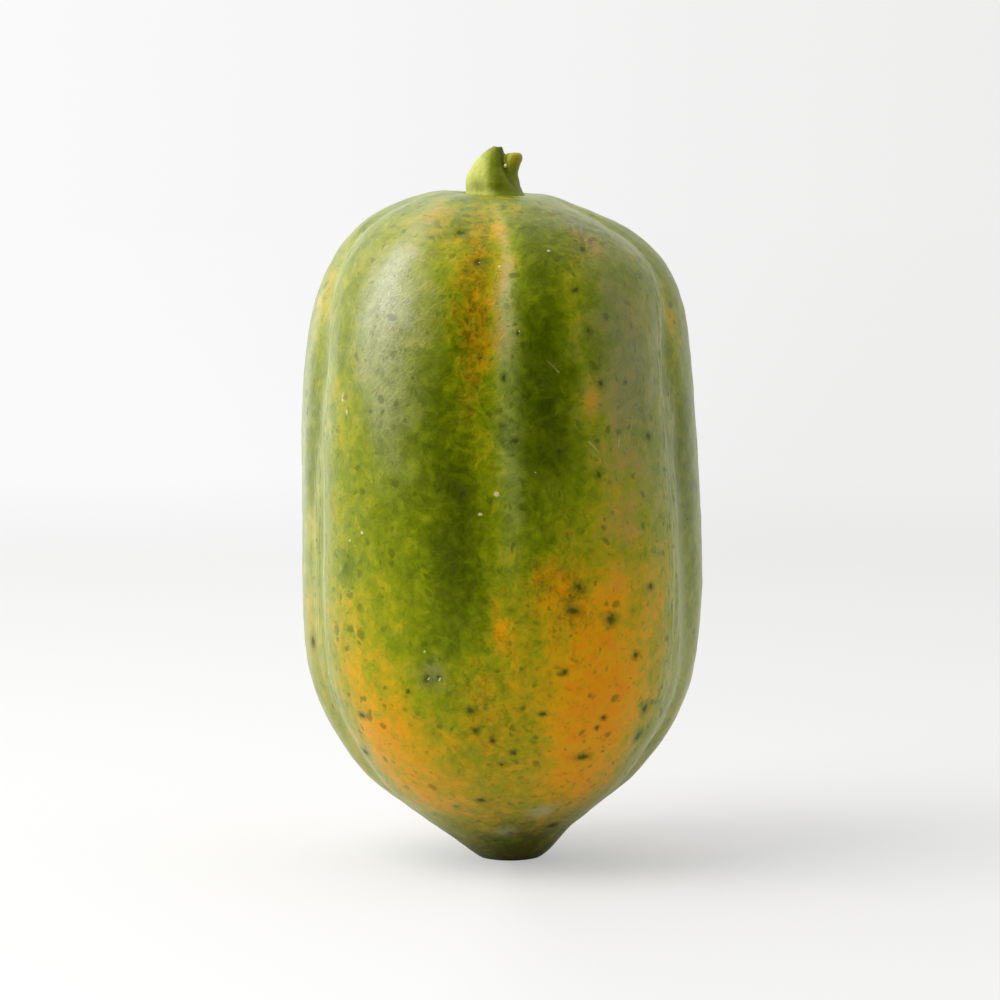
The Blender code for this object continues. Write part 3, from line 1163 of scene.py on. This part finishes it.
        # dark green columns and patches, and painted shade at the base where the fruit meets the floor
        dim = wire.plus(wire.mask(Layer.DARK_GREEN_AND_SHADE.value), wire.times(patches, 2.1))
        dim = wire.plus(dim, wire.times(wire.plus(seen.threads, seen.grain), 0.8))
        colour = wire.blend(wire.times(wire.rise(dim, 0.0, 1.3), look.shade_share), colour, look.shade)
        # painted highlights: pale streaks along the valley folds, where the surroundings are reflected
        valley_highlights = wire.times(wire.mask(VALLEY_HIGHLIGHT_MASK), wire.rise(seen.hairs, -0.26, 0.22))
        colour = wire.blend(wire.times(valley_highlights, look.highlight_share), colour, look.highlight_paint)
        # painted highlight: paler where the key light's sheen falls, and at two real scuffs low down
        uneven = wire.plus(wire.times(seen.threads, 2.6), wire.times(seen.mottle, 2.4))
        highlight_and_scuff = wire.times(wire.mask(Layer.PALE.value), wire.plus(uneven, 0.85), clamp=True)
        colour = wire.blend(highlight_and_scuff, colour, look.highlight_paint)
        return wire.blend(seen.dots, colour, look.speck)

    def marked(self, wire: Wiring, seen: SkinPatterns, place: Feed, colour: Feed) -> bpy.types.NodeSocket:
        """The colour with its single spots, its scratches and the blossom scar.

        Args:
            wire: Where the nodes go.
            seen: The skin's patterns.
            place: Coordinates in metres.
            colour: The colour under the marks.

        Returns:
            The colour's socket.
        """
        look = self.finish
        colour = wire.blend(wire.times(seen.halo, look.halo_share), colour, look.speck)
        colour = wire.blend(wire.times(seen.dark, look.mark_share), colour, look.spot)
        colour = wire.blend(wire.times(seen.pale, look.mark_share), colour, look.pale)
        scratch: Feed = 0.0
        for start, end in SCRATCHES:
            line = wire.group(line_group(), Place=place, Start=self.form.spot(*start), End=self.form.spot(*end))
            scratch = wire.math("MAXIMUM", line.outputs["Line"], scratch)
        colour = wire.blend(wire.times(scratch, look.scratch_share), colour, look.pale)
        return wire.blend(wire.mask(SCAR), colour, look.scar)

    def dress(self) -> bpy.types.Material:
        """Makes the skin's finish.

        Returns:
            The material.
        """
        material, wire, shader = new_finish("papaya skin")
        look, place = self.finish, wire.place()
        seen = self.patterns(wire, place)
        colour = self.weathered(wire, seen, self.ripened(wire, seen))
        wire.feed(shader.inputs["Base Color"], self.marked(wire, seen, place, colour))

        rough = wire.plus(wire.times(seen.mottle, 0.2), look.roughness)
        rough = wire.plus(rough, wire.times(seen.dark, 0.18))
        rough = wire.plus(rough, wire.times(wire.mask(SCAR), 0.3), clamp=True)
        wire.feed(shader.inputs["Roughness"], rough)
        smoothed = wire.rise(wire.mask(Layer.PALE.value), 0.0, 0.5)
        shiny = wire.math("MAXIMUM", wire.times(seen.bloom_and_highlight, 0.35), smoothed)
        wire.feed(shader.inputs["Specular Tint"], wire.blend(shiny, look.wax, look.white))
        wire.feed(shader.inputs["Coat Weight"], wire.times(shiny, look.coat))
        shader.inputs["Specular IOR Level"].default_value = look.specular
        shader.inputs["Coat Roughness"].default_value = look.coat_roughness

        height = wire.times(seen.threads, wire.plus(wire.times(seen.bloom_and_highlight, 0.34), 0.12))
        streaked = wire.times(seen.hairs, wire.mask(VALLEY_HIGHLIGHT_MASK))
        bumps = ((seen.grain, 0.045), (streaked, 0.9))
        marks = ((seen.dots, -0.05), (seen.dark, -0.12), (seen.pale, 0.10))
        for pattern, rise in bumps + marks:
            height = wire.plus(height, wire.times(pattern, rise))
        wire.bump(shader, height, look.bump_depth)
        return material


# ------------------------------------------------------------------------------- shared node groups


def speck_group() -> bpy.types.NodeTree:
    """Scattered small soft specks. Made once and shared.

    Returns:
        A group that takes Place, Spacing in millimetres, Share of the places that have a speck and
        Size as a share of the spacing, and gives Speck.
    """
    name = "scattered specks"
    if name in bpy.data.node_groups:
        return bpy.data.node_groups[name]
    inputs = {"Place": "Vector", "Spacing": "Float", "Share": "Float", "Size": "Float"}
    wire, given, result = new_group(name, inputs, ["Speck"])
    cells = wire.add("TexVoronoi", voronoi_dimensions="3D", feature="F1")
    wire.feed(cells.inputs["Vector"], given.outputs["Place"])
    wire.feed(cells.inputs["Scale"], wire.math("DIVIDE", 1000.0, given.outputs["Spacing"]))
    split = wire.add("SeparateColor")
    wire.feed(split.inputs[0], cells.outputs["Color"])
    chosen = wire.math("LESS_THAN", split.outputs[0], given.outputs["Share"])
    spread = wire.plus(wire.times(split.outputs[1], 0.9), 0.5)
    size = wire.times(given.outputs["Size"], spread)
    edge = wire.times(size, 2.3)
    disc = wire.rest(wire.rise(cells.outputs["Distance"], size, edge))
    wire.feed(result.inputs["Speck"], wire.times(disc, chosen))
    return wire.tree


def line_group() -> bpy.types.NodeTree:
    """One thin straight mark. Made once and shared.

    Returns:
        A group that takes Place, Start and End in metres, and gives Line.
    """
    name = "thin line"
    if name in bpy.data.node_groups:
        return bpy.data.node_groups[name]
    wire, given, result = new_group(name, {"Place": "Vector", "Start": "Vector", "End": "Vector"}, ["Line"])
    run = wire.vector("SUBTRACT", given.outputs["End"], given.outputs["Start"])
    reach = wire.vector("SUBTRACT", given.outputs["Place"], given.outputs["Start"])
    along, whole = wire.vector("DOT_PRODUCT", reach, run), wire.vector("DOT_PRODUCT", run, run)
    share = wire.math("DIVIDE", along, whole, clamp=True)
    nearest = wire.add("VectorMath", operation="SCALE")
    wire.feed(nearest.inputs[0], run)
    wire.feed(nearest.inputs["Scale"], share)
    gap = wire.vector("DISTANCE", reach, nearest.outputs[0])
    wire.feed(result.inputs["Line"], wire.rest(wire.rise(gap, 0.10 * MM, 0.32 * MM)))
    return wire.tree


def thread_group() -> bpy.types.NodeTree:
    """Fine slanting threads and wrinkles. Made once and shared.

    Returns:
        A group that takes Place and Spacing in millimetres, and gives Threads from 0 to 1.
    """
    name = "fine threads"
    if name in bpy.data.node_groups:
        return bpy.data.node_groups[name]
    wire, given, result = new_group(name, {"Place": "Vector", "Spacing": "Float"}, ["Threads"])
    slanted = wire.stretch(given.outputs["Place"], (1.0, 1.0, 0.13), (0.0, -46.0, 0.0))
    ridges = wire.speckle(slanted, given.outputs["Spacing"], 3.0, 0.6)
    cross = wire.stretch(given.outputs["Place"], (1.0, 1.0, 0.40), (0.0, 24.0, 0.0))
    other = wire.speckle(cross, given.outputs["Spacing"], 3.0, 0.6)
    wire.feed(result.inputs["Threads"], wire.plus(wire.times(ridges, 0.68), wire.times(other, 0.32)))
    return wire.tree


# --------------------------------------------------------------------------------------- the stem


@dataclass(frozen=True)
class Section:
    """One level of a stub: its height over the seat, its middle, and its half sizes, all in mm."""

    height: float
    x: float
    y: float
    half_width: float
    half_depth: float


@dataclass(frozen=True)
class StemFinish:
    """The colours and gloss of the stem."""

    green: Colour = tint(114, 126, 10)
    # the paler green of the painted light on the stem's left flank; the dried sap is tinted between it and the
    # sap colour
    pale: Colour = tint(178, 184, 92)
    # the darker green of the stem's mottle and front band, and of the painted shade in its crease and at its
    # foot
    shade: Colour = tint(66, 78, 2)
    ochre: Colour = tint(168, 150, 36)
    gleam: Colour = (1.0, 0.95, 0.3, 1.0)
    dry: Colour = tint(96, 74, 34)
    sap: Colour = tint(226, 218, 170)
    roughness: float = 0.45


@dataclass
class Stem:
    """The short cut stub of the fruit's stalk, with its side knob, dried tip and dried sap."""

    form: FruitForm = field(default_factory=FruitForm)
    finish: StemFinish = field(default_factory=StemFinish)
    sides: int = 48
    grain: float = 0.28 * MM
    softening: int = 9
    sap_radius: float = 0.55 * MM
    sap_place: tuple = (3.9, -3.5, 9.4)  # mm from the seat
    main_stub: tuple = (
        Section(-0.9, 1.0, 0.0, 9.8, 9.0),
        Section(0.3, 0.9, 0.0, 9.0, 8.3),
        Section(1.8, 0.5, 0.0, 8.4, 7.7),
        Section(4.4, -0.1, 0.0, 8.0, 7.3),
        Section(6.6, -0.5, 0.1, 7.2, 6.7),
        Section(9.0, -0.9, 0.2, 5.5, 5.6),
        Section(11.4, -0.3, 0.2, 4.4, 4.4),
        Section(13.4, 0.4, 0.1, 3.1, 3.2),
        Section(14.6, 1.1, 0.0, 2.0, 2.2),
        Section(15.2, 1.5, 0.0, 1.2, 1.4),
    )
    side_knob: tuple = (
        Section(1.0, 5.9, -0.4, 2.6, 3.2),
        Section(4.4, 5.1, -0.5, 3.0, 3.5),
        Section(7.1, 4.6, -0.6, 2.9, 3.3),
        Section(9.2, 5.2, -0.8, 2.9, 3.1),
        Section(11.2, 6.0, -0.9, 2.9, 2.9),
        Section(12.6, 6.3, -0.9, 2.6, 2.6),
        Section(13.3, 6.2, -0.9, 1.8, 1.8),
    )

    def seat(self) -> Vector:
        """The middle of the stem's seat on the fruit."""
        return Vector((float(self.form.offset(np.array([1.0]))[0]), 0.0, self.form.height))

    def stub(self, sections: tuple) -> bmesh.types.BMesh:
        """A closed stub through its sections: a cylinder cut into levels and drawn out.

        Args:
            sections: Its levels from low to high.

        Returns:
            The stub, in place.
        """
        levels = len(sections) - 1
        shape = bmesh.new()
        bmesh.ops.create_cone(shape, cap_ends=True, segments=self.sides, radius1=1, radius2=1, depth=levels)
        for level in range(1, levels):
            everything = shape.verts[:] + shape.edges[:] + shape.faces[:]
            cut = (0, 0, level - levels / 2)
            bmesh.ops.bisect_plane(shape, geom=everything, plane_co=cut, plane_no=(0, 0, 1))
        for vertex in shape.verts:
            at = sections[round(vertex.co.z + levels / 2)]
            local = Vector((at.x + vertex.co.x * at.half_width, at.y + vertex.co.y * at.half_depth, at.height))
            vertex.co = self.seat() + local * MM
        bmesh.ops.recalc_face_normals(shape, faces=shape.faces)
        return shape

    def build(self) -> list[bpy.types.Object]:
        """Makes the stem and the drop of dried sap on it.

        Returns:
            The pieces.
        """
        joined = bmesh.new()
        for sections in (self.main_stub, self.side_knob):
            loose = finished_mesh("stub", self.stub(sections))
            joined.from_mesh(loose)
            bpy.data.meshes.remove(loose)
        rough = add_object("stem_rough", finished_mesh("stem_rough", joined))
        remesh = rough.modifiers.new("one body", "REMESH")
        remesh.mode = "VOXEL"
        remesh.voxel_size = self.grain
        smooth = rough.modifiers.new("soften", "SMOOTH")
        smooth.factor, smooth.iterations = 0.5, self.softening
        ready = rough.evaluated_get(bpy.context.evaluated_depsgraph_get())
        body = bpy.data.meshes.new_from_object(ready)
        bpy.data.objects.remove(rough)
        body.name = "stem_body"
        self.sculpt(body)
        stem = add_piece("stem_body", body, self.dress())
        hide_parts("stem")
        return [stem, self.sap_drop()]

    def sculpt(self, mesh: bpy.types.Mesh) -> None:
        """Presses the crease, the dried tip and the fine ribs into the stem, and stores its masks.

        Args:
            mesh: The stem's mesh, in place.
        """
        places, normals = vertex_vectors(mesh), vertex_vectors(mesh, "normal")
        local = (places - np.array(self.seat())) / MM
        x, y, z = local.T
        middle = 3.4 + 0.30 * (10.5 - z) + 0.12 * np.maximum(0, 7 - z) ** 1.5
        crease = np.exp(-(((x - middle) / 0.75) ** 2)) * smooth_rise(1.5, 5.0, z) * (y < 1.5)
        tip = np.exp(-(((x - 1.7) / 1.6) ** 2) - ((y - 0.0) / 2.0) ** 2) * smooth_rise(13.2, 14.6, z)
        ribs = 0.14 * cloud(local * np.array([1, 1, 0.25]), 2.6, 2) + 0.05 * cloud(local, 1.1, 2, 5.0)
        crust = 0.22 * cloud(local, 0.7, 2, 9.0) * tip
        push = ribs - 0.35 * crease + crust
        move_vertices(mesh, places + normals * (push * MM)[:, None])
        band = np.exp(-(((x - 2.0) / 1.5) ** 2)) * smooth_rise(1.0, 4.0, z)
        blotch = 0.9 * np.exp(-(((x + 4.8) / 1.5) ** 2) - ((z - 4.0) / 1.9) ** 2)
        # painted light: the left flank, where the key light falls, is paler, and so is a patch low on the left
        key_lit_side = smooth_rise(1.2, -4.2, x + 0.12 * (z - 6))
        key_lit_side = key_lit_side + 0.8 * np.exp(-(((x + 2.5) / 3.0) ** 2) - ((z - 1.2) / 1.3) ** 2)
        masks = {
            # painted shade: darker in the crease
            "crease": crease,
            "dry_tip": tip,
            "knob": smooth_rise(4.0, 6.5, x) * smooth_rise(7.0, 12.5, z),
            # painted shade: darker at the foot, where the stem meets the fruit
            "painted_foot_shade": 1 - smooth_rise(-0.6, 0.9, z),
            "dark_band": np.maximum(band, blotch) * (y < 0),
            "painted_lit_flank": np.clip(key_lit_side, 0, 1),
        }
        for name, values in masks.items():
            store_mask(mesh, name, values)

    def dress(self) -> bpy.types.Material:
        """Makes the stem's finish.

        Returns:
            The material.
        """
        material, wire, shader = new_finish("papaya stem")
        look, place = self.finish, wire.place()
        mottle = wire.speckle(place, 4.5, 3.0)
        fine = wire.speckle(place, 0.9, 3.0)
        ribbed = wire.speckle(wire.stretch(place, (1.0, 1.0, 0.2)), 1.2, 2.0)
        # painted light: paler on the left flank, where the key light falls
        key_lit_side = wire.plus(wire.mask("painted_lit_flank"), wire.times(wire.centred(mottle), 1.2))
        colour = wire.blend(wire.times(wire.rise(key_lit_side, 0.0, 1.0), 0.9), look.green, look.pale)
        colour = wire.blend(wire.times(wire.rise(fine, 0.5, 0.8), 0.30), colour, look.shade)
        # a darker green band on the front, the ochre knob, and painted shade in the crease and at the foot
        painted = (("dark_band", 0.55, look.shade), ("knob", 0.7, look.ochre))
        painted += (("crease", 0.75, look.shade), ("painted_foot_shade", 0.8, look.shade))
        for name, share, shown in painted:
            colour = wire.blend(wire.times(wire.mask(name), share), colour, shown)
        worn = wire.rise(wire.plus(wire.mask("dry_tip"), wire.times(wire.centred(fine), 0.6)), 0.3, 0.6)
        wire.feed(shader.inputs["Base Color"], wire.blend(worn, colour, look.dry))
        shader.inputs["Specular Tint"].default_value = look.gleam
        rough = wire.plus(wire.times(wire.centred(mottle), 0.12), look.roughness)
        wire.feed(shader.inputs["Roughness"], wire.plus(rough, wire.times(worn, 0.3)))
        wire.bump(shader, wire.plus(wire.times(ribbed, 0.12), wire.times(fine, 0.06)), 1.0 * MM)
        return material

    def sap_drop(self) -> bpy.types.Object:
        """The small dried drop of sap where the knob parts from the stub.

        Returns:
            The drop.
        """
        shape = bmesh.new()
        bmesh.ops.create_icosphere(shape, subdivisions=4, radius=self.sap_radius)
        middle = self.seat() + Vector(self.sap_place) * MM
        for vertex in shape.verts:
            wobble = 1 + 0.16 * noise.noise(vertex.co / (0.4 * MM))
            vertex.co = middle + Vector((vertex.co.x * wobble, vertex.co.y * 0.8, vertex.co.z * 1.15 * wobble))
        mesh = finished_mesh("sap_drop", shape)
        material, wire, shader = new_finish("dried sap")
        fine = wire.speckle(wire.place(), 0.4, 2.0)
        wire.feed(shader.inputs["Base Color"], wire.blend(fine, self.finish.pale, self.finish.sap))
        wire.feed(shader.inputs["Roughness"], wire.plus(wire.times(fine, 0.2), 0.3))
        return add_piece("sap_drop", mesh, material)


# -------------------------------------------------------------------------------------- the studio


@dataclass
class Studio:
    """A plain pale floor, soft light from the upper left and a camera a little above the fruit."""

    aim: Vector = field(default_factory=lambda: Vector((-3.0, 0.0, 108.0)) * MM)
    distance: float = 1.2
    elevation: float = 5.0
    framed: float = 0.3
    floor_radius: float = 9.0
    floor_colour: Colour = (0.70, 0.70, 0.697, 1.0)
    floor_melts: tuple = (0.3, 1.5)  # metres out, from plain floor to backdrop
    pale_side: float = 0.955
    dim_side: float = 0.855
    ambient: float = 0.80
    left: float = 1.60
    front: float = 0.03
    # how far along X or Y a direction points where each rise starts and ends
    backdrop_turn: tuple = (-0.16, 0.16)
    left_rise: tuple = (0.7, -0.9)
    front_gap: tuple = (-0.92, -0.15)
    key_power: float = 15.0
    key_size: tuple = (1.0, 1.2)
    key_colour: tuple = (1.0, 0.99, 0.97)
    key_towards: tuple = (-0.64, -0.29, 0.71)
    key_distance: float = 1.3
    floor_glow: float = 0.48

    def build(self) -> None:
        """Makes the floor, the lights and the camera."""
        self.floor()
        self.surroundings()
        self.key()
        self.camera()

    def backdrop(self, wire: Wiring, across: Feed) -> bpy.types.NodeSocket:
        """The backdrop's colour.

        Args:
            wire: Where the nodes go.
            across: How far towards +X a direction points, from -1 to 1.

        Returns:
            The colour's socket, a little paler on the left.
        """
        pale, dim = self.pale_side, self.dim_side
        turn = wire.rise(across, *self.backdrop_turn)
        return wire.blend(turn, (pale, pale, pale, 1.0), (dim, dim, dim * 0.995, 1.0))

    def light(self, wire: Wiring, across: Feed, along: Feed) -> bpy.types.NodeSocket:
        """How bright the surroundings are as a source of light.

        Args:
            wire: Where the nodes go.
            across: How far towards +X a direction points, from -1 to 1.
            along: How far towards +Y it points.

        Returns:
            The colour's socket: brightest on the left, and dim in front, where the camera stands.
        """
        side = wire.rise(across, *self.left_rise)
        around = wire.plus(wire.times(side, self.left - self.ambient), self.ambient - self.front)
        level = wire.plus(wire.times(wire.rise(along, *self.front_gap), around), self.front)
        grey = wire.add("CombineColor")
        for socket in grey.inputs:
            wire.feed(socket, level)
        return grey.outputs[0]

    def floor(self) -> None:
        """A wide floor that melts into the backdrop far from the fruit."""
        shape = bmesh.new()
        bmesh.ops.create_circle(shape, cap_ends=True, segments=96, radius=self.floor_radius)
        mesh = finished_mesh("floor", shape)
        material, wire, shader = new_finish("studio floor")
        shader.inputs["Base Color"].default_value = self.floor_colour
        shader.inputs["Roughness"].default_value = 0.8
        shader.inputs["Specular IOR Level"].default_value = 0.1
        split = wire.add("SeparateXYZ")
        wire.feed(split.inputs[0], wire.place())
        length = wire.length(wire.place())
        across, along = (wire.math("DIVIDE", split.outputs[axis], length) for axis in ("X", "Y"))
        seen = wire.add("LightPath").outputs["Is Camera Ray"]
        glow = wire.add("Emission")
        far = wire.blend(seen, self.light(wire, across, along), self.backdrop(wire, across))
        wire.feed(glow.inputs["Color"], far)
        near = wire.times(seen, self.floor_glow)
        mix = wire.add("MixShader")
        wire.feed(mix.inputs[0], wire.math("MAXIMUM", wire.rise(length, *self.floor_melts), near))
        wire.feed(mix.inputs[1], shader.outputs[0])
        wire.feed(mix.inputs[2], glow.outputs[0])
        wire.feed(material.node_tree.nodes["Material Output"].inputs["Surface"], mix.outputs[0])
        mesh.materials.append(material)
        add_object("floor", mesh)

    def surroundings(self) -> None:
        """A pale backdrop all round, with a dim gap in front where the camera stands."""
        world = bpy.data.worlds.new("studio")
        bpy.context.scene.world = world
        world.use_nodes = True
        wire = Wiring(world.node_tree)
        split = wire.add("SeparateXYZ")
        wire.feed(split.inputs[0], wire.add("TexCoord").outputs["Generated"])
        lit = self.light(wire, split.outputs["X"], split.outputs["Y"])
        seen = wire.add("LightPath").outputs["Is Camera Ray"]
        background = world.node_tree.nodes["Background"]
        wire.feed(background.inputs["Color"], wire.blend(seen, lit, self.backdrop(wire, split.outputs["X"])))
        background.inputs["Strength"].default_value = 1.0

    def key(self) -> None:
        """The large soft light at the upper left, a little in front of the fruit."""
        lamp = bpy.data.lights.new("key", "AREA")
        lamp.shape = "RECTANGLE"
        lamp.size, lamp.size_y = self.key_size
        lamp.energy, lamp.color = self.key_power, self.key_colour
        holder = add_object("key", lamp)
        towards = Vector(self.key_towards).normalized()
        holder.location = self.aim + towards * self.key_distance
        holder.rotation_euler = towards.to_track_quat("Z", "Y").to_euler()

    def camera(self) -> None:
        """The camera, a little above the fruit's middle and looking along +Y."""
        lens = bpy.data.cameras.new("camera")
        lens.sensor_width = 36.0
        lens.lens = lens.sensor_width * self.distance / self.framed
        lens.clip_start, lens.clip_end = 0.05, 60.0
        eye = add_object("camera", lens)
        tilt = math.radians(self.elevation)
        eye.location = self.aim + Vector((0.0, -math.cos(tilt), math.sin(tilt))) * self.distance
        eye.rotation_euler = (math.radians(90 - self.elevation), 0.0, 0.0)
        bpy.context.scene.camera = eye
        bpy.context.scene.view_settings.view_transform = "Standard"


def main() -> None:
    """Builds the studio, the fruit and its stem, in that order, and reports each piece."""
    logging.basicConfig(level=logging.INFO, format="%(name)s: %(message)s")
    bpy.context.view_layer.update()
    Studio().build()
    for piece in (FruitSkin().build(), *Stem().build()):
        log.info("%s: %d faces", piece.name, len(piece.data.polygons))


if __name__ == "__main__":
    main()
